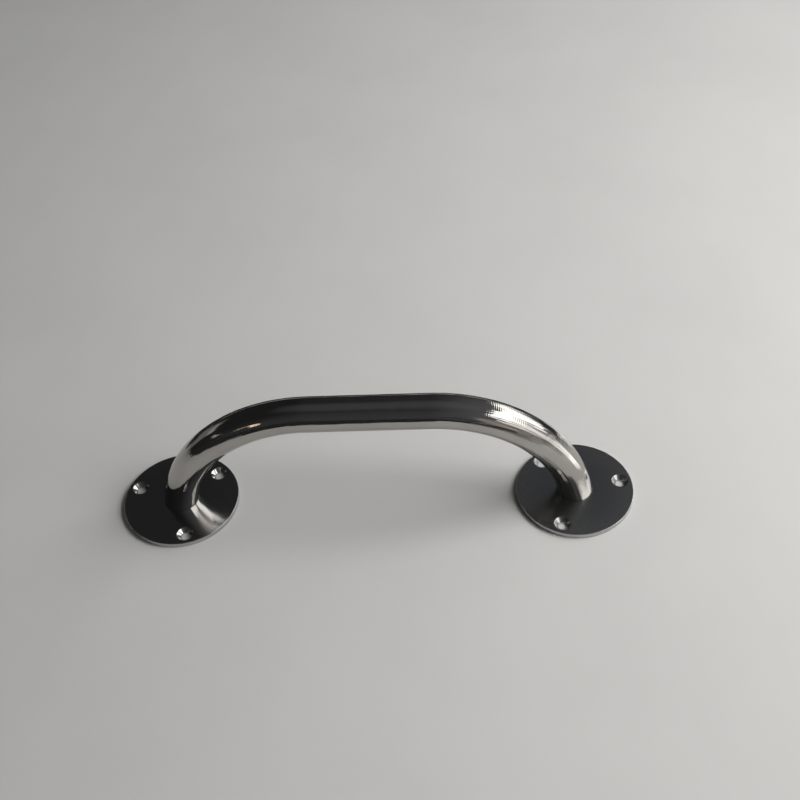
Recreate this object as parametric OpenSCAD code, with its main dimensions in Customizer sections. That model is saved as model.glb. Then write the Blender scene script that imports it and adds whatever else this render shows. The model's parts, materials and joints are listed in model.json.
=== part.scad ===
/* [Rail] */
// Distance between the centres of the two feet, where they meet the flanges
foot_spacing = 256; // [210:1:1200]
// Height of the top of the rail above the mounting surface
rail_height = 91; // [76:0.5:112]
// Outside diameter of the tube
tube_d = 22; // [18:0.5:28]
// Wall thickness of the tube
tube_wall = 1.5; // [1:0.1:2.5]
// Radius of each bend, to the centre line of the tube
bend_radius = 92; // [76:1:100]

/* [Flanges] */
// Outside diameter of each round base flange
flange_d = 75; // [62:0.5:100]
// Thickness of each base flange
flange_t = 3.5; // [3.2:0.1:6]
// Radius of the rounded top edge of a flange
flange_edge = 0.5; // [0.4:0.1:1.5]
// Gap all round between the tube and the hole that it stands in
tube_clearance = 0.1; // [0.05:0.05:0.3]

/* [Screw holes] */
// Number of screw holes in each flange
hole_count = 3; // [2:1:5]
// Distance from the centre of each screw hole to the edge of the flange
hole_edge_distance = 7.5; // [7:0.1:9]
// Diameter of each screw hole
hole_d = 5.2; // [5:0.1:6]
// Diameter of the countersink at the top of the flange
countersink_d = 10.4; // [9:0.1:11]
// Included angle of the countersink
countersink_angle = 90; // [90:1:100]
// Direction of the first screw hole of the left flange, from +X towards +Y
left_hole_angle = 42; // [0:1:119]
// Direction of the first screw hole of the right flange, from +X towards +Y
right_hole_angle = 10; // [0:1:119]

/* [Welds] */
// Height of the weld metal, up from the underside of the flange
weld_h = 1.6; // [1:0.1:2.2]
// Width of the weld groove, out from the tube
weld_w = 2.5; // [1.5:0.1:3.5]

/* [Hidden] */
$fn = 96;
polished_steel = [0.78, 0.78, 0.77];
weld_steel = [0.58, 0.55, 0.5];
left = -1;
right = 1;
// How far a cut runs past the face that it opens through
past = 1;

tube_r = tube_d / 2;
bore_r = tube_r - tube_wall;
line_z = rail_height - tube_r;
bend_centre_z = line_z - bend_radius;

// Distance in X from a bend's centre to the tube's centre line, at height z. Below the
// bend's centre the leg runs straight down.
function bend_reach(z) =
    let (rise = max(0, z - bend_centre_z))
    sqrt(bend_radius * bend_radius - rise * rise);

straight_half = foot_spacing / 2 - bend_reach(flange_t);
leg_l = max(0, bend_centre_z + past);

// The tube meets the flange at this angle from upright
foot_lean = acos(bend_reach(flange_t) / bend_radius);
weld_x = straight_half + bend_reach(weld_h);
weld_r = tube_r / cos(foot_lean) + weld_w;

flange_r = flange_d / 2;
hole_circle_r = flange_r - hole_edge_distance;
countersink_depth = (countersink_d - hole_d) / 2 / tan(countersink_angle / 2);

// Bar or tube along one bend, and down the leg below it. Its children are its cross-section.
module bent_piece(side) {
    translate([side * straight_half, 0, bend_centre_z]) {
        rotate([90, 0, 0])
            rotate_extrude(angle = 90, start = side == right ? 0 : 90)
                translate([bend_radius, 0])
                    children();
        if (leg_l > 0)
            translate([side * bend_radius, 0, -leg_l])
                linear_extrude(leg_l)
                    children();
    }
}

// Space below height z, as wide and as deep as the rail
module space_below(z) {
    depth = z + 2 * past + max(0, -bend_centre_z);
    translate([-foot_spacing, -tube_d, z - depth])
        cube([2 * foot_spacing, 2 * tube_d, depth]);
}

// Cross-section of the tube
module tube_section() {
    difference() {
        circle(r = tube_r);
        circle(r = bore_r);
    }
}

// Half of the tube, from the middle of the rail to one foot and on past the flange
module half_tube(side) {
    translate([side == left ? -straight_half : 0, 0, line_z])
        rotate([0, 90, 0])
            linear_extrude(straight_half)
                tube_section();
    bent_piece(side)
        tube_section();
}

module rail_tube() {
    color(polished_steel)
        difference() {
            union() {
                half_tube(left);
                half_tube(right);
            }
            space_below(weld_h);
        }
}

// Countersunk screw hole, standing on the underside of the flange
module screw_hole() {
    translate([0, 0, -past])
        cylinder(d = hole_d, h = flange_t + 2 * past);
    translate([0, 0, flange_t - countersink_depth])
        cylinder(d1 = hole_d, d2 = countersink_d, h = countersink_depth);
}

// Flat round plate with a rounded top edge
module flange_plate() {
    rotate_extrude() {
        square([flange_r - flange_edge, flange_t]);
        square([flange_r, flange_t - flange_edge]);
        translate([flange_r - flange_edge, flange_t - flange_edge])
            circle(r = flange_edge);
    }
}

module flange(side, first_hole_angle) {
    color(polished_steel)
        difference() {
            translate([side * foot_spacing / 2, 0, 0])
                difference() {
                    flange_plate();
                    for (i = [0 : hole_count - 1])
                        rotate([0, 0, first_hole_angle + i * 360 / hole_count])
                            translate([hole_circle_r, 0, 0])
                                screw_hole();
                }
            bent_piece(side)
                circle(r = tube_r + tube_clearance);
            translate([side * weld_x, 0, -past])
                cylinder(r = weld_r, h = weld_h + past);
        }
}

module left_flange() {
    flange(left, left_hole_angle);
}

module right_flange() {
    flange(right, right_hole_angle);
}

// Ring of weld metal under the end of the tube, ground flush with the flange's underside
module weld(side) {
    color(weld_steel)
        difference() {
            translate([side * weld_x, 0, 0])
                cylinder(r = weld_r, h = weld_h);
            bent_piece(side)
                circle(r = bore_r);
        }
}

module left_weld() {
    weld(left);
}

module right_weld() {
    weld(right);
}

rail_tube();
left_flange();
right_flange();
left_weld();
right_weld();
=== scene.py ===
"""A polished grab rail: one bent tube, welded from below into two drilled round flanges."""

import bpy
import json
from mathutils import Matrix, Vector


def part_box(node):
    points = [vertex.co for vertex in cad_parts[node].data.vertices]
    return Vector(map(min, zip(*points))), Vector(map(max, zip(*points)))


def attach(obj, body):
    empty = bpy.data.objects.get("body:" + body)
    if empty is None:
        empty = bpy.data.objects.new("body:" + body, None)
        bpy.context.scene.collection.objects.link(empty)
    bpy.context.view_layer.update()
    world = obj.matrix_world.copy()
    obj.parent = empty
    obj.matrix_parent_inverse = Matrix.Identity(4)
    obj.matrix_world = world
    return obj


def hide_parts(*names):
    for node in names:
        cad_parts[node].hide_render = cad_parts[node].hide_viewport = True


bl_info = {
    "name": "Grab Rail",
    "version": (1, 0, 0),
    "blender": (4, 5, 0),
    "location": "View3D > Sidebar > Grab Rail",
    "description": "Builds a polished grab rail from a bent tube and two drilled flanges",
    "category": "Add Mesh",
}

import json
from math import acos, atan2, cos, hypot, pi, radians, sin, sqrt, tan, tau

import bmesh
import bpy
from bpy.props import FloatProperty, FloatVectorProperty, IntProperty, PointerProperty
from mathutils import Matrix, Vector

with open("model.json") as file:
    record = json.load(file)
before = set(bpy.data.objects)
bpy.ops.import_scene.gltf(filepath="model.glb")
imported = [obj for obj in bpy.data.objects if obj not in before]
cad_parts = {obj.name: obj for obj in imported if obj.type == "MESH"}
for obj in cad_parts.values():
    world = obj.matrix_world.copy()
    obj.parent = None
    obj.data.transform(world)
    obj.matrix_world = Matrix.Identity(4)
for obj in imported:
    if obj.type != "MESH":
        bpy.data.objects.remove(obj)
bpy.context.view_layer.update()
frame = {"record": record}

# Sizes that the frame holds, in metres
TUBE_LOW, TUBE_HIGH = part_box("rail_tube")
TUBE_RADIUS = (TUBE_HIGH.y - TUBE_LOW.y) / 2
LINE_HEIGHT = TUBE_HIGH.z - TUBE_RADIUS
FLANGE_LOW, FLANGE_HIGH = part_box("right_flange")
FLANGE_RADIUS = (FLANGE_HIGH.y - FLANGE_LOW.y) / 2
FLANGE_TOP = FLANGE_HIGH.z
FOOT_X = (FLANGE_LOW.x + FLANGE_HIGH.x) / 2
WELD_LOW, WELD_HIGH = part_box("right_weld")
WELD_RADIUS = (WELD_HIGH.y - WELD_LOW.y) / 2
WELD_TOP = WELD_HIGH.z
WELD_X = (WELD_LOW.x + WELD_HIGH.x) / 2
SCREWS = next(m for m in frame["record"]["mounts"] if m["name"] == "right_screws")["dims"]
SCREW_CIRCLE_RADIUS = SCREWS["pcd_mm"] / 2000
SCREW_HOLE_RADIUS = SCREWS["hole_r_mm"] / 1000

LEFT = -1
RIGHT = 1
UP = Vector((0, 0, 1))
TUBE_SIDES = 96
RIM_SIDES = 144
SCREW_HOLE_SIDES = 48
STRAIGHT_STEPS = 18
BEND_STEPS = 90
ROUND_STEPS = 6
# Share of each bend over which its flattening builds up and dies away
BEND_ONSET = 0.25
# Depth of the hollow that grinding left round each weld, and of the ripples inside it
GROUND_DISH = 0.00008
BEAD_DEPTH = 0.00025
# Width of the flat ring that borders each rounded edge, so that the flat face stays flat
BORDER = 0.0004
# Points closer than this are the same point
SAME = 1e-6
# The point's place in the tube before it was bent: along it, across it and towards the outside
UNBENT = "unbent_place"

# Noise scales along and across the unbent tube, for each pattern that is drawn out along it
LINE_SCALE = (6, 900, 900)
STREAK_SCALE = (16, 360, 360)
SMEAR_SCALE = (18, 90, 90)
WAVE_SCALE = (70, 110, 110)
# The same along X, Y and Z for the lines that grinding left on the welds
GRINDING_SCALE = (300, 4200, 300)
# How far the cross ripples wander from their even pitch, as an angle of their wave
RIPPLE_WANDER = 9
# Distances past the start of a bend over which its cross ripples build up and die away
RIPPLES_BEGIN = (0.02, 0.045)
RIPPLES_END = (0.085, 0.12)
# The same for its streaks, which start a little before it
STREAKS_BEGIN = (-0.01, 0.03)
# Distances from the middle of the rail over which the left bend's finish gives way to the right's
CHANGEOVER = (-0.01, 0.01)
# Height of the left bend's ripples, and of the streaks outside the right bend, as shares of the full
LEFT_RIPPLES = 0.12
PLAIN_STREAKS = 0.3
# Heights between which the flange's underside gives way to its wall
UNDERSIDE = (0.0001, 0.0006)
# Distance that each heat tint reaches out from the weld, and its colour
STRAW_REACH = 0.006
STRAW = (0.46, 0.31, 0.14, 1)
SCORCH_REACH = 0.0025
SCORCH = (0.10, 0.12, 0.22, 1)
WELD_TINT = (0.34, 0.24, 0.13, 1)

FLOOR_RADIUS = 6.0
BACKDROP_HEIGHT = 5.0
BACKDROP_GLOW = 0.6
SENSOR_WIDTH = 36
# The colours of daylight, of daylight off a pale wall, and of black paper
DAYLIGHT = (1.0, 0.99, 0.97)
WALL_LIGHT = (1.0, 0.98, 0.95)
BLACK_PAPER = (0.05, 0.05, 0.05)
ROOM_DARK = (0.02, 0.02, 0.0205, 1)
ROOM_LIT = (0.26, 0.27, 0.285, 1)
# Axis of each side that the room is lit from, where that light begins and is full, and its share
ROOM_LIGHT = (
    ("X", -0.3, 1.1, 0.7),
    ("Z", 0.8, 1.05, 0.2),
    ("Y", -0.3, -1.0, 0.13),
)
# Ends and heights of the black cards, which stand on the table and show only in reflections
BLACK_CARDS = (
    ("front_card", (-1.5, -0.205), (0.22, -0.205), 0.09),
    ("back_card", (-0.4, 0.13), (0.6, 0.13), 0.065),
    ("side_card", (0.3, -0.66), (0.76, -0.24), 0.1),
)
# Corners and glow of each streak of window glare on the table, which only reflections show
GLARES = (
    ("window_glare", ((0.2, 0.007), (0.2, -0.014), (0.8, -0.17), (0.8, 0.07)), 1.6),
    ("corner_glare", ((0.14, 0.062), (0.264, 0.106), (0.264, 0.126), (0.14, 0.08)), 1.2),
)
# Height of those streaks above the table
GLARE_LIFT = 0.001
# The window wall: the azimuth that it lies in, and its distance from a point on the right bend
WALL_AZIMUTH = 98
WALL_DISTANCE = 1.5
WALL_FROM = Vector((0.1, 0, 0.06))
# Name, left, right, bottom, top, glow and colour of each pane of the wall. The edges are shares of
# the wall's distance, across towards the camera and up.
PANES = (
    ("window_top", -0.45, 0.64, 0.64, 1.2, 2.6, DAYLIGHT),
    ("window_left", -2.7, -0.9, 0.42, 1.04, 2.6, DAYLIGHT),
    ("window_middle", -0.9, -0.45, 0.22, 1.08, 2.6, DAYLIGHT),
    ("window_edge", -0.45, -0.34, 0.2, 0.64, 2.0, DAYLIGHT),
    ("pillar", -0.34, 0.02, 0.14, 0.64, 0.24, (1.0, 0.98, 0.92)),
    ("window_slot", 0.02, 0.38, 0.14, 0.64, 1.5, WALL_LIGHT),
    ("window_foot", -0.14, 0.16, 0.01, 0.14, 2.2, WALL_LIGHT),
    ("window_right", 0.38, 0.65, 0.2, 0.64, 0.9, (1.0, 0.93, 0.85)),
    ("side_wall", 0.65, 1.3, 0.12, 0.7, 0.4, (1.0, 0.87, 0.75)),
    ("far_wall", 1.3, 2.2, 0.1, 0.66, 0.28, (1.0, 0.9, 0.8)),
    ("sill", -2.7, -0.9, 0.12, 0.42, 0.3, WALL_LIGHT),
)
# Name, azimuth, elevation, distance, width, height, glow and colour of each other softbox
SOFTBOXES = (
    ("left_strip", -68, 11, 2.2, 1.1, 0.78, 0.16, WALL_LIGHT),
    ("left_line", -72, 18, 2.2, 0.95, 0.16, 0.2, WALL_LIGHT),
    ("warm_lamp", -141, 19, 2.2, 0.6, 0.07, 2.8, (1.0, 0.82, 0.6)),
    ("far_lamp", -114, 17, 2.2, 0.5, 0.08, 0.9, (1.0, 0.86, 0.7)),
)
# The same for the soft light that falls on the table, which reflections don't show
TABLE_LIGHT = ("table_light", 86, 44, 1.4, 0.9, 0.7, 7.2, (1.0, 0.99, 0.975))


# ---------------------------------------------------------------- settings


class RailShape(bpy.types.PropertyGroup):
    bend_radius: FloatProperty(
        name="Bend radius",
        description="Radius of each bend, to the centre line of the tube",
        default=0.092,
        unit="LENGTH",
    )
    wall: FloatProperty(
        name="Tube wall",
        description="Wall thickness of the tube",
        default=0.0015,
        unit="LENGTH",
    )
    flattening: FloatProperty(
        name="Bend flattening",
        description="Share of its depth that the tube loses where it is bent",
        default=0.025,
        subtype="FACTOR",
    )
    clearance: FloatProperty(
        name="Tube clearance",
        description="Gap all round between the tube and the hole that it stands in",
        default=0.0001,
        unit="LENGTH",
    )
    flange_edge: FloatProperty(
        name="Flange edge",
        description="Radius of the rounded top edge of a flange",
        default=0.0005,
        unit="LENGTH",
    )
    softened_edge: FloatProperty(
        name="Softened edge",
        description="Radius that polishing has left on the edges of the holes",
        default=0.00018,
        unit="LENGTH",
    )
    countersink_radius: FloatProperty(
        name="Countersink radius",
        description="Radius of the countersink at the top of the flange",
        default=0.0052,
        unit="LENGTH",
    )
    countersink_angle: FloatProperty(
        name="Countersink angle",
        description="Included angle of the countersink",
        default=radians(90),
        unit="ROTATION",
    )
    left_hole_angle: FloatProperty(
        name="Left hole angle",
        description="Direction of the left flange's first screw hole, from +X towards +Y",
        default=radians(42),
        unit="ROTATION",
    )
    right_hole_angle: FloatProperty(
        name="Right hole angle",
        description="Direction of the right flange's first screw hole, from +X towards +Y",
        default=radians(10),
        unit="ROTATION",
    )
    bead_scallops: IntProperty(
        name="Bead scallops",
        description="Number of weld ripples round the inside of each weld",
        default=30,
    )


class RailFinish(bpy.types.PropertyGroup):
    steel: FloatVectorProperty(
        name="Steel",
        description="Colour of the polished stainless steel",
        default=(0.485, 0.47, 0.445),
        subtype="COLOR",
        size=3,
    )
    flange_steel: FloatVectorProperty(
        name="Flange steel",
        description="Colour of the flanges, which are a little greyer than the tube",
        default=(0.56, 0.56, 0.56),
        subtype="COLOR",
        size=3,
    )
    weld_steel: FloatVectorProperty(
        name="Weld steel",
        description="Colour of the ground weld metal",
        default=(0.42, 0.40, 0.37),
        subtype="COLOR",
        size=3,
    )
    ripple_pitch: FloatProperty(
        name="Ripple pitch",
        description="Distance between the fine cross ripples that bending left on the tube",
        default=0.0013,
        unit="LENGTH",
    )
    ripple_height: FloatProperty(
        name="Ripple height",
        description="Height of those ripples",
        default=0.000026,
        unit="LENGTH",
    )
    wave_height: FloatProperty(
        name="Wave height",
        description="Height of the wide waves in the tube's surface",
        default=0.00016,
        unit="LENGTH",
    )
    streak_height: FloatProperty(
        name="Streak height",
        description="Height of the streaks that polishing left along the tube",
        default=0.0005,
        unit="LENGTH",
    )
    line_height: FloatProperty(
        name="Line height",
        description="Height of the finest polishing lines along the tube",
        default=0.00005,
        unit="LENGTH",
    )
    tube_roughness: FloatProperty(
        name="Tube roughness",
        description="Roughness of the tube where it is best polished",
        default=0.04,
        subtype="FACTOR",
    )
    left_roughness: FloatProperty(
        name="Left flange roughness",
        description="Roughness of the left flange where it is best polished",
        default=0.09,
        subtype="FACTOR",
    )
    right_roughness: FloatProperty(
        name="Right flange roughness",
        description="Roughness of the right flange where it is best polished",
        default=0.2,
        subtype="FACTOR",
    )


class RailStage(bpy.types.PropertyGroup):
    table: FloatVectorProperty(
        name="Table",
        description="Colour of the table top",
        default=(0.65, 0.648, 0.637),
        subtype="COLOR",
        size=3,
    )
    azimuth: FloatProperty(
        name="Azimuth",
        description="Direction of the view, from +Y towards -X",
        default=radians(3.734),
        unit="ROTATION",
    )
    elevation: FloatProperty(
        name="Elevation",
        description="Height of the view above the horizon",
        default=radians(46.364),
        unit="ROTATION",
    )
    roll: FloatProperty(
        name="Roll",
        description="Turn of the camera about its own view",
        default=radians(-4.355),
        unit="ROTATION",
    )
    distance: FloatProperty(
        name="Distance",
        description="Distance from the camera to the point that it looks at",
        default=0.7438,
        unit="LENGTH",
    )
    aim: FloatVectorProperty(
        name="Aim",
        description="The point that the camera looks at",
        default=(0.0169, 0.04316, 0.045),
        subtype="TRANSLATION",
        unit="LENGTH",
        size=3,
    )
    lens: FloatProperty(
        name="Lens",
        description="Focal length of the camera, on a 36 mm sensor",
        default=51.58,
    )


# ---------------------------------------------------------------- shader maths


# The mix node's sockets for colours go by number, because its names repeat
MIX_SHARE, MIX_FIRST, MIX_SECOND, MIX_RESULT = 0, 6, 7, 2


class Value:
    """A node's output that reads as a number, so that shader maths reads as maths."""

    def __init__(self, shader, socket):
        self.shader = shader
        self.socket = socket

    def maths(self, operation, *values):
        return self.shader.node("ShaderNodeMath", {"operation": operation}, dict(enumerate(values)))

    def __add__(self, other):
        return self.maths("ADD", self, other)

    def __sub__(self, other):
        return self.maths("SUBTRACT", self, other)

    def __rsub__(self, other):
        return self.maths("SUBTRACT", other, self)

    def __mul__(self, other):
        return self.maths("MULTIPLY", self, other)

    def __pow__(self, other):
        return self.maths("POWER", self, other)

    def __abs__(self):
        return self.maths("ABSOLUTE", self)

    __radd__ = __add__
    __rmul__ = __mul__

    def wave(self):
        return self.maths("SINE", self)

    def step(self, low, high):
        """0 up to low, 1 from high on, and smooth between them."""
        settings = {"interpolation_type": "SMOOTHSTEP"}
        sockets = {"Value": self, "From Min": low, "From Max": high}
        return self.shader.node("ShaderNodeMapRange", settings, sockets)


class Shader:
    """Builds one material's or one world's nodes."""

    def __init__(self, owner):
        owner.use_nodes = True
        self.tree = owner.node_tree

    def node(self, kind, settings=None, sockets=None, output=0):
        """Adds a node with those settings and socket values or links, and returns an output."""
        node = self.tree.nodes.new(kind)
        for name, value in (settings or {}).items():
            setattr(node, name, value)
        for name, value in (sockets or {}).items():
            self.join(node.inputs[name], value)
        return Value(self, node.outputs[output])

    def join(self, entry, value):
        """Links the value to a socket, or sets the socket to it if it is a plain one."""
        if isinstance(value, Value):
            self.tree.links.new(value.socket, entry)
        else:
            entry.default_value = value

    def noise(self, place, scale, detail=2.0, roughness=0.5):
        sockets = {"Vector": place, "Scale": scale, "Detail": detail, "Roughness": roughness}
        return self.node("ShaderNodeTexNoise", sockets=sockets)

    def stretched(self, place, scale):
        return self.node("ShaderNodeMapping", sockets={"Vector": place, "Scale": scale})

    def stretched_noise(self, place, scale, detail):
        """Noise with a scale of its own along each axis."""
        return self.noise(self.stretched(place, scale), 1, detail)

    def part(self, place, axis):
        return self.node("ShaderNodeSeparateXYZ", sockets={0: place}, output=axis)

    def object_place(self):
        return self.node("ShaderNodeTexCoord", output="Object")

    def blend(self, share, first, second):
        """A colour between two colours."""
        sockets = {MIX_SHARE: share, MIX_FIRST: first, MIX_SECOND: second}
        return self.node("ShaderNodeMix", {"data_type": "RGBA"}, sockets, output=MIX_RESULT)

    def bump(self, height, distance, normal=None):
        sockets = {"Height": height, "Distance": distance}
        if normal:
            sockets["Normal"] = normal
        return self.node("ShaderNodeBump", sockets=sockets)


def principled(name, constants):
    """A new material, its Shader and its Principled node, with the constants set."""
    material = bpy.data.materials.new(name)
    shader = Shader(material)
    surface = shader.tree.nodes["Principled BSDF"]
    for entry, value in constants.items():
        surface.inputs[entry].default_value = value
    return material, shader, surface


def solid(colour, share=1.0):
    """An opaque colour, darkened to that share."""
    return (*(share * channel for channel in colour), 1.0)


# ---------------------------------------------------------------- materials


def polished_tube(finish, straight_half):
    """Mirror-polished steel: polishing lines run along it, and fine ripples cross the bends."""
    material, shader, surface = principled("polished_tube", {"Metallic": 1.0})
    unbent = shader.node("ShaderNodeAttribute", {"attribute_name": UNBENT}, output="Vector")
    cloudy = shader.noise(unbent, scale=45, detail=3)
    lines = shader.stretched_noise(unbent, LINE_SCALE, detail=2)
    smears = shader.stretched_noise(unbent, SMEAR_SCALE, detail=4)
    tint = shader.blend(cloudy.step(0.35, 0.7), solid(finish.steel), solid(finish.steel, share=0.93))
    shader.join(surface.inputs["Base Color"], tint)
    roughness = finish.tube_roughness + 0.06 * smears.step(0.45, 0.75) + 0.03 * lines
    shader.join(surface.inputs["Roughness"], roughness)

    run = shader.part(unbent, "X")
    past = abs(run) - straight_half
    on_right = run.step(*CHANGEOVER)
    rippled_part = past.step(*RIPPLES_BEGIN) * (1 - past.step(*RIPPLES_END))
    rippled_part = rippled_part * (LEFT_RIPPLES + (1 - LEFT_RIPPLES) * on_right)
    wander = shader.noise(unbent, scale=160, detail=2)
    ripples = (run * (tau / finish.ripple_pitch) + wander * RIPPLE_WANDER).wave()
    patchy = shader.noise(unbent, scale=70, detail=2).step(0.3, 0.6)
    rippled = shader.bump(ripples * patchy * rippled_part, finish.ripple_height)
    waves = shader.stretched_noise(unbent, WAVE_SCALE, detail=1)
    wavy = shader.bump(waves, finish.wave_height, rippled)
    streaks = shader.stretched_noise(unbent, STREAK_SCALE, detail=3)
    streaked_part = PLAIN_STREAKS + (1 - PLAIN_STREAKS) * past.step(*STREAKS_BEGIN) * on_right
    streaked = shader.bump(streaks * streaked_part, finish.streak_height, wavy)
    shader.join(surface.inputs["Normal"], shader.bump(lines, finish.line_height, streaked))
    return material


def polished_flange(finish, weld_x, softness, name):
    """Polished plate: a little softer than the tube, with heat tint round the weld below."""
    material, shader, surface = principled(name, {"Metallic": 1.0})
    place = shader.object_place()
    cloudy = shader.noise(place, scale=38, detail=4)
    darker = solid(finish.flange_steel, share=0.9)
    steel = shader.blend(cloudy.step(0.3, 0.7), solid(finish.flange_steel), darker)
    x, y, z = (shader.part(place, axis) for axis in "XYZ")
    across = x - weld_x
    from_weld = (across * across + y * y) ** 0.5
    below = 1 - z.step(*UNDERSIDE)
    heated = below * (1 - from_weld.step(WELD_RADIUS, WELD_RADIUS + STRAW_REACH))
    scorched = below * (1 - from_weld.step(WELD_RADIUS, WELD_RADIUS + SCORCH_REACH))
    tinted = shader.blend(scorched, shader.blend(heated, steel, STRAW), SCORCH)
    shader.join(surface.inputs["Base Color"], tinted)
    roughness = softness + 0.07 * from_weld.step(WELD_RADIUS, FLANGE_RADIUS)
    roughness = roughness + 0.05 * cloudy.step(0.4, 0.8) + 0.1 * below
    shader.join(surface.inputs["Roughness"], roughness)
    wavy = shader.bump(shader.noise(place, scale=30, detail=1), distance=0.00008)
    fine = shader.noise(place, scale=900, detail=3)
    shader.join(surface.inputs["Normal"], shader.bump(fine, distance=0.0000015, normal=wavy))
    return material


def ground_weld(finish):
    """Weld metal ground flush: straight grinding lines and a faint heat tint."""
    material, shader, surface = principled("ground_weld", {"Metallic": 1.0})
    place = shader.object_place()
    blotches = shader.noise(place, scale=240, detail=4)
    lines = shader.stretched_noise(place, GRINDING_SCALE, detail=3)
    tinted = shader.blend(blotches.step(0.45, 0.7), solid(finish.weld_steel), WELD_TINT)
    shader.join(surface.inputs["Base Color"], tinted)
    shader.join(surface.inputs["Roughness"], 0.34 + 0.2 * lines)
    shader.join(surface.inputs["Normal"], shader.bump(lines + blotches, distance=0.00003))
    return material


def table_top(stage):
    """Pale matt laminate."""
    material, shader, surface = principled("table_top", {"Specular IOR Level": 0.0})
    place = shader.object_place()
    cloudy = shader.noise(place, scale=9, detail=4)
    grain = shader.noise(place, scale=1500, detail=2)
    shade = cloudy.step(0.3, 0.75) * 0.6 + grain * 0.4
    mottled = shader.blend(shade, solid(stage.table), solid(stage.table, share=0.94))
    shader.join(surface.inputs["Base Color"], mottled)
    shader.join(surface.inputs["Roughness"], 0.5 + 0.1 * grain)
    shader.join(surface.inputs["Normal"], shader.bump(grain, distance=0.00002))
    return material


# ---------------------------------------------------------------- mesh helpers


def bend_centre_z(shape):
    return LINE_HEIGHT - shape.bend_radius


def bend_reach(shape, z, outward=0.0):
    """Distance in X from a bend's centre to the tube, outward from its line, at height z."""
    rise = max(0.0, z - bend_centre_z(shape))
    return sqrt((shape.bend_radius + outward) ** 2 - rise**2)


def straight_half(shape):
    return FOOT_X - bend_reach(shape, FLANGE_TOP)


def finished_piece(name, bm, material, node):
    """Makes the mesh an object that stands for a CAD node and rides on the rail."""
    bmesh.ops.remove_doubles(bm, verts=bm.verts[:], dist=SAME)
    bmesh.ops.recalc_face_normals(bm, faces=bm.faces[:])
    if any(not edge.is_manifold for edge in bm.edges):
        raise RuntimeError(f"{name} isn't closed")
    mesh = bpy.data.meshes.new(name)
    bm.to_mesh(mesh)
    bm.free()
    mesh.shade_smooth()
    mesh.set_sharp_from_angle(angle=radians(40))
    mesh.materials.append(material)
    piece = bpy.data.objects.new(name, mesh)
    bpy.context.scene.collection.objects.link(piece)
    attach(piece, "root")
    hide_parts(node)
    return piece


def turned(bm, outline, rounding, axis, sides):
    """Turns an open outline of (radius, height) points about an upright axis.

    rounding gives the radius that rounds each corner, by the point's number in the outline.
    Returns the new points.
    """
    others = set(bm.verts)
    points = [bm.verts.new((axis.x + radius, axis.y, height)) for radius, height in outline]
    for pair in zip(points, points[1:]):
        bm.edges.new(pair)
    for number, radius in rounding.items():
        bmesh.ops.bevel(
            bm,
            geom=[points[number]],
            offset=radius,
            offset_type="OFFSET",
            segments=ROUND_STEPS,
            profile=0.5,
            affect="VERTICES",
            material=-1,
        )
    line = [vert for vert in bm.verts if vert not in others]
    edges = {edge for vert in line for edge in vert.link_edges}
    bmesh.ops.spin(
        bm,
        geom=[*line, *edges],
        cent=axis,
        axis=UP,
        angle=tau,
        steps=sides,
        use_merge=True,
    )
    return [vert for vert in bm.verts if vert not in others]


def fill_level(bm, height):
    """Fills the flat face between the open edges at one height."""
    rims = [
        edge
        for edge in bm.edges
        if edge.is_boundary and all(abs(vert.co.z - height) < SAME for vert in edge.verts)
    ]
    bmesh.ops.triangle_fill(bm, edges=rims, use_beauty=True, normal=UP)


def lean(shape, verts, side):
    """Moves points that were placed round the Z axis to where the bent tube stands at their height."""
    for vert in verts:
        reach = bend_reach(shape, vert.co.z, vert.co.x)
        vert.co.x = side * (straight_half(shape) + reach)


# ---------------------------------------------------------------- pieces


def unbend(shape, place):
    """A point's place in the straight tube: along it, across it, and towards the outside."""
    side = RIGHT if place.x >= 0 else LEFT
    past = abs(place.x) - straight_half(shape)
    if past <= 0:
        return Vector((place.x, place.y, place.z - LINE_HEIGHT))
    rise = place.z - bend_centre_z(shape)
    turn = atan2(past, rise)
    along = straight_half(shape) + shape.bend_radius * turn
    return Vector((side * along, place.y, hypot(past, rise) - shape.bend_radius))


def rebend(shape, straight):
    """The reverse of unbend."""
    side = RIGHT if straight.x >= 0 else LEFT
    past = abs(straight.x) - straight_half(shape)
    if past <= 0:
        return Vector((straight.x, straight.y, straight.z + LINE_HEIGHT))
    turn = past / shape.bend_radius
    reach = shape.bend_radius + straight.z
    across = straight_half(shape) + reach * sin(turn)
    return Vector((side * across, straight.y, bend_centre_z(shape) + reach * cos(turn)))


def ease(share):
    share = min(1.0, max(0.0, share))
    return share * share * (3 - 2 * share)


def flatten_bends(shape, bm):
    """Presses the tube a little oval in its bends and notes each point's unbent place."""
    unbent_place = bm.verts.layers.float_vector.new(UNBENT)
    bend_length = shape.bend_radius * acos(-bend_centre_z(shape) / shape.bend_radius)
    for vert in bm.verts:
        straight = unbend(shape, vert.co)
        share = (abs(straight.x) - straight_half(shape)) / bend_length
        pressed = shape.flattening * ease(share / BEND_ONSET) * ease((1 - share) / BEND_ONSET)
        straight.y *= 1 + pressed / 2
        straight.z *= 1 - pressed
        vert[unbent_place] = straight
        vert.co = rebend(shape, straight)


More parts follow.
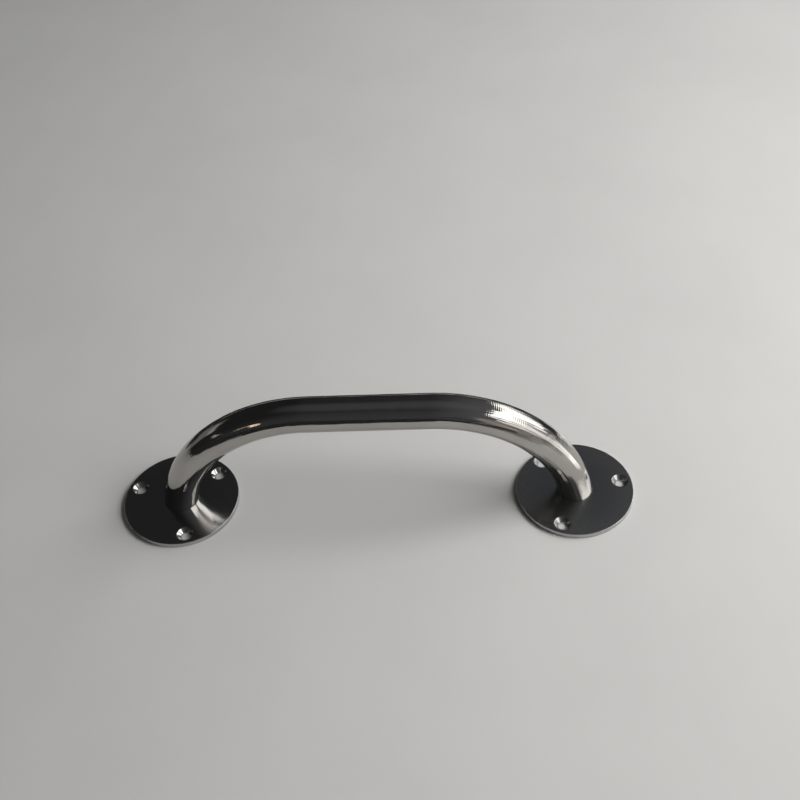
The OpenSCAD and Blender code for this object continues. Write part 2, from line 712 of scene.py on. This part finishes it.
def bent_tube(shape, material):
    """One tube with an inner and an outer wall, bent down to a foot at each end."""
    bm = bmesh.new()
    half = straight_half(shape)
    facing = Matrix.Translation((0, 0, LINE_HEIGHT)) @ Matrix.Rotation(radians(90), 4, "Y")
    for radius in (TUBE_RADIUS, TUBE_RADIUS - shape.wall):
        bmesh.ops.create_circle(bm, segments=TUBE_SIDES, radius=radius, matrix=facing)
    ends = bm.edges[:]
    for _ in range(STRAIGHT_STEPS):
        grown = bmesh.ops.extrude_edge_only(bm, edges=ends)["geom"]
        ends = [part for part in grown if isinstance(part, bmesh.types.BMEdge)]
        moved = [part for part in grown if isinstance(part, bmesh.types.BMVert)]
        bmesh.ops.translate(bm, verts=moved, vec=(half / STRAIGHT_STEPS, 0, 0))
        ends = [edge for edge in ends if edge.is_boundary]
    bmesh.ops.spin(
        bm,
        geom=[*{vert for edge in ends for vert in edge.verts}, *ends],
        cent=(half, 0, bend_centre_z(shape)),
        axis=(0, 1, 0),
        angle=radians(90),
        steps=BEND_STEPS,
    )
    cut = bmesh.ops.bisect_plane(
        bm,
        geom=[*bm.verts, *bm.edges, *bm.faces],
        plane_co=(0, 0, WELD_TOP),
        plane_no=-UP,
        clear_outer=True,
    )["geom_cut"]
    bmesh.ops.bridge_loops(bm, edges=[part for part in cut if isinstance(part, bmesh.types.BMEdge)])
    bmesh.ops.mirror(
        bm,
        geom=[*bm.verts, *bm.edges, *bm.faces],
        matrix=Matrix.Identity(4),
        merge_dist=SAME,
        axis="X",
    )
    flatten_bends(shape, bm)
    return finished_piece("bent_tube", bm, material, "rail_tube")


def drilled_flange(shape, side, first_hole_angle, name, material, node):
    """A round plate with a rounded edge, countersunk screw holes and a hole for the tube."""
    bm = bmesh.new()
    centre = Vector((side * FOOT_X, 0, 0))
    soft = shape.softened_edge
    edge_inside = FLANGE_RADIUS - shape.flange_edge - BORDER
    rim = [
        (FLANGE_RADIUS - soft - BORDER, 0),
        (FLANGE_RADIUS, 0),
        (FLANGE_RADIUS, FLANGE_TOP),
        (edge_inside, FLANGE_TOP),
    ]
    turned(bm, rim, {1: soft, 2: shape.flange_edge}, centre, RIM_SIDES)

    depth = (shape.countersink_radius - SCREW_HOLE_RADIUS) / tan(shape.countersink_angle / 2)
    screw_hole = [
        (shape.countersink_radius + soft + BORDER, FLANGE_TOP),
        (shape.countersink_radius, FLANGE_TOP),
        (SCREW_HOLE_RADIUS, FLANGE_TOP - depth),
        (SCREW_HOLE_RADIUS, 0),
        (SCREW_HOLE_RADIUS + soft + BORDER, 0),
    ]
    for number in range(SCREWS["count"]):
        direction = first_hole_angle + number * tau / SCREWS["count"]
        offset = Vector((cos(direction), sin(direction), 0)) * SCREW_CIRCLE_RADIUS
        turned(bm, screw_hole, {1: soft, 2: soft, 3: soft}, centre + offset, SCREW_HOLE_SIDES)

    hole_radius = TUBE_RADIUS + shape.clearance
    tube_hole = [
        (hole_radius + soft + BORDER, FLANGE_TOP),
        (hole_radius, FLANGE_TOP),
        (hole_radius, WELD_TOP),
        (hole_radius + BORDER, WELD_TOP),
    ]
    lean(shape, turned(bm, tube_hole, {1: soft}, Vector(), TUBE_SIDES), side)
    groove = [
        (WELD_RADIUS - BORDER, WELD_TOP),
        (WELD_RADIUS, WELD_TOP),
        (WELD_RADIUS, 0),
        (WELD_RADIUS + BORDER, 0),
    ]
    turned(bm, groove, {}, Vector((side * WELD_X, 0, 0)), TUBE_SIDES)
    for height in (0, WELD_TOP, FLANGE_TOP):
        fill_level(bm, height)
    return finished_piece(name, bm, material, node)


def weld_ring(shape, side, name, material, node):
    """Weld metal under the end of the tube, ground flush, with ripples round its inside."""
    bm = bmesh.new()
    centre = Vector((side * WELD_X, 0, 0))
    soft = shape.softened_edge
    bore = TUBE_RADIUS - shape.wall
    outline = [
        (bore, WELD_TOP),
        (bore, 0),
        (bore + (WELD_RADIUS - bore) / 2, GROUND_DISH),
        (WELD_RADIUS, 0),
        (WELD_RADIUS, WELD_TOP),
        (bore, WELD_TOP),
    ]
    ring = turned(bm, outline, {1: soft}, Vector(), TUBE_SIDES * 2)
    for vert in ring:
        from_bore = hypot(vert.co.x, vert.co.y) - bore
        scallop = BEAD_DEPTH * abs(sin(shape.bead_scallops / 2 * atan2(vert.co.y, vert.co.x)))
        if from_bore < soft + SAME and vert.co.z < WELD_TOP - SAME:
            vert.co.xy *= 1 + scallop / bore
    inner = [vert for vert in ring if hypot(vert.co.x, vert.co.y) < bore + soft + BEAD_DEPTH]
    outer = [vert for vert in ring if vert not in inner]
    lean(shape, inner, side)
    bmesh.ops.translate(bm, verts=outer, vec=centre)
    return finished_piece(name, bm, material, node)


# ---------------------------------------------------------------- stage


def stage_object(name, bm, material, unseen_by=()):
    """Makes the mesh an object in the scene. unseen_by names the kinds of ray that miss it."""
    mesh = bpy.data.meshes.new(name)
    bm.to_mesh(mesh)
    bm.free()
    mesh.materials.append(material)
    placed = bpy.data.objects.new(name, mesh)
    for ray in unseen_by:
        setattr(placed, f"visible_{ray}", False)
    bpy.context.scene.collection.objects.link(placed)


def paper(name, colour, glow=0.0):
    """Matt paper, which may glow in its own colour."""
    constants = {
        "Base Color": solid(colour),
        "Roughness": 1.0,
        "Emission Color": solid(colour),
        "Emission Strength": glow,
    }
    return principled(name, constants)[0]


def glare(name, glow):
    """Glows like daylight that the table throws back."""
    return principled(name, {"Emission Color": solid(WALL_LIGHT), "Emission Strength": glow})[0]


def backdrop(material):
    """A pale wall a long way off, which only the camera sees."""
    bm = bmesh.new()
    bmesh.ops.create_cone(
        bm,
        segments=96,
        radius1=FLOOR_RADIUS,
        radius2=FLOOR_RADIUS,
        depth=BACKDROP_HEIGHT,
        matrix=Matrix.Translation((0, 0, BACKDROP_HEIGHT / 2)),
    )
    stage_object("backdrop", bm, material, ("glossy", "diffuse", "shadow", "transmission"))


def card(name, corners, material):
    """A flat card that only reflections show."""
    bm = bmesh.new()
    bm.faces.new([bm.verts.new(corner) for corner in corners])
    stage_object(name, bm, material, ("camera", "diffuse", "shadow"))


def floor(material):
    """The round table top that the rail stands on."""
    bm = bmesh.new()
    bmesh.ops.create_circle(bm, cap_ends=True, segments=96, radius=FLOOR_RADIUS)
    bmesh.ops.recalc_face_normals(bm, faces=bm.faces[:])
    stage_object("table", bm, material)


def direction(azimuth, elevation):
    """Unit vector: azimuth is from +Y towards +X, in degrees."""
    level = cos(radians(elevation))
    return Vector((level * sin(radians(azimuth)), level * cos(radians(azimuth)), sin(radians(elevation))))


def soft_light(name, place, towards, width, height, glow, colour):
    """A rectangular light that faces away from towards. glow is its brightness at any size."""
    light = bpy.data.lights.new(name, "AREA")
    light.shape = "RECTANGLE"
    light.size = width
    light.size_y = height
    light.energy = glow * pi * width * height
    light.color = colour
    lamp = bpy.data.objects.new(name, light)
    facing = towards.to_track_quat("Z", "Y").to_matrix().to_4x4()
    lamp.matrix_world = Matrix.Translation(place) @ facing
    lamp.visible_camera = False
    bpy.context.scene.collection.objects.link(lamp)
    return lamp


def softbox(name, azimuth, elevation, distance, *rest):
    """A light that faces the rail."""
    towards = direction(azimuth, elevation)
    return soft_light(name, towards * distance, towards, *rest)


def pane(name, left, right, bottom, top, *rest):
    """One bright or dim part of the window wall."""
    towards = direction(WALL_AZIMUTH, 0)
    across = direction(WALL_AZIMUTH + 90, 0)
    middle = towards + across * (left + right) / 2 + UP * (bottom + top) / 2
    size = (WALL_DISTANCE * (right - left), WALL_DISTANCE * (top - bottom))
    return soft_light(name, WALL_FROM + middle * WALL_DISTANCE, towards, *size, *rest)


def dark_room():
    """A dim room, lighter towards the windows, overhead and in front."""
    world = bpy.data.worlds.new("dark_room")
    bpy.context.scene.world = world
    shader = Shader(world)
    heading = shader.node("ShaderNodeTexCoord", output="Generated")
    share = sum(
        shader.part(heading, axis).step(begins, full) * weight
        for axis, begins, full, weight in ROOM_LIGHT
    )
    room = shader.tree.nodes["Background"]
    shader.join(room.inputs["Color"], shader.blend(share, ROOM_DARK, ROOM_LIT))


def camera(stage):
    """Looks at the rail from the front and above."""
    view = bpy.data.cameras.new("camera")
    view.lens = stage.lens
    view.sensor_width = SENSOR_WIDTH
    looker = bpy.data.objects.new("camera", view)
    bpy.context.scene.collection.objects.link(looker)
    turn = (
        Matrix.Rotation(stage.azimuth, 4, "Z")
        @ Matrix.Rotation(radians(90) - stage.elevation, 4, "X")
        @ Matrix.Rotation(stage.roll, 4, "Z")
    )
    looker.matrix_world = Matrix.Translation(stage.aim) @ turn @ Matrix.Translation((0, 0, stage.distance))
    bpy.context.scene.camera = looker


# ---------------------------------------------------------------- operators


class RAIL_OT_stage(bpy.types.Operator):
    """Sets up the table, the backdrop, the lights and the camera"""

    bl_idname = "rail.stage"
    bl_label = "Stage"

    def execute(self, context):
        stage = context.scene.rail_stage
        camera(stage)
        floor(table_top(stage))
        backdrop(paper("backdrop_paper", stage.table, BACKDROP_GLOW))
        black = paper("black_paper", BLACK_PAPER)
        for name, start, end, height in BLACK_CARDS:
            card(name, ((*start, 0), (*end, 0), (*end, height), (*start, height)), black)
        for name, corners, glow in GLARES:
            card(name, [(*corner, GLARE_LIFT) for corner in corners], glare(name, glow))
        dark_room()
        for part in PANES:
            pane(*part)
        for box in SOFTBOXES:
            softbox(*box)
        softbox(*TABLE_LIGHT).visible_glossy = False
        context.scene.view_settings.view_transform = "Standard"
        return {"FINISHED"}


class RAIL_OT_tube(bpy.types.Operator):
    """Builds the bent tube"""

    bl_idname = "rail.tube"
    bl_label = "Tube"

    def execute(self, context):
        shape = context.scene.rail_shape
        material = polished_tube(context.scene.rail_finish, straight_half(shape))
        bent_tube(shape, material)
        return {"FINISHED"}


class RAIL_OT_flanges(bpy.types.Operator):
    """Builds the two drilled flanges"""

    bl_idname = "rail.flanges"
    bl_label = "Flanges"

    def execute(self, context):
        shape = context.scene.rail_shape
        finish = context.scene.rail_finish
        for side, word, angle, softness in (
            (LEFT, "left", shape.left_hole_angle, finish.left_roughness),
            (RIGHT, "right", shape.right_hole_angle, finish.right_roughness),
        ):
            material = polished_flange(finish, side * WELD_X, softness, f"{word}_flange_polish")
            drilled_flange(shape, side, angle, f"{word}_plate", material, f"{word}_flange")
        return {"FINISHED"}


class RAIL_OT_welds(bpy.types.Operator):
    """Builds the two weld rings under the feet"""

    bl_idname = "rail.welds"
    bl_label = "Welds"

    def execute(self, context):
        shape = context.scene.rail_shape
        material = ground_weld(context.scene.rail_finish)
        for side, word in ((LEFT, "left"), (RIGHT, "right")):
            weld_ring(shape, side, f"{word}_bead", material, f"{word}_weld")
        return {"FINISHED"}


class RAIL_PT_panel(bpy.types.Panel):
    """Lists the steps that build the rail, and its settings"""

    bl_idname = "RAIL_PT_panel"
    bl_label = "Grab Rail"
    bl_space_type = "VIEW_3D"
    bl_region_type = "UI"
    bl_category = "Grab Rail"

    def draw(self, context):
        for step in STEPS:
            self.layout.operator(step.bl_idname)
        for settings in SETTINGS:
            group = getattr(context.scene, settings)
            for name in group.bl_rna.properties.keys():
                if name not in ("rna_type", "name"):
                    self.layout.prop(group, name)


STEPS = (RAIL_OT_stage, RAIL_OT_tube, RAIL_OT_flanges, RAIL_OT_welds)
SETTINGS = {"rail_shape": RailShape, "rail_finish": RailFinish, "rail_stage": RailStage}
CLASSES = (*SETTINGS.values(), *STEPS, RAIL_PT_panel)


def register():
    for cls in CLASSES:
        bpy.utils.register_class(cls)
    for name, group in SETTINGS.items():
        setattr(bpy.types.Scene, name, PointerProperty(type=group))


def unregister():
    for name in SETTINGS:
        delattr(bpy.types.Scene, name)
    for cls in reversed(CLASSES):
        bpy.utils.unregister_class(cls)


def main():
    register()
    bpy.ops.rail.stage()
    bpy.ops.rail.tube()
    bpy.ops.rail.flanges()
    bpy.ops.rail.welds()


if __name__ == "__main__":
    main()
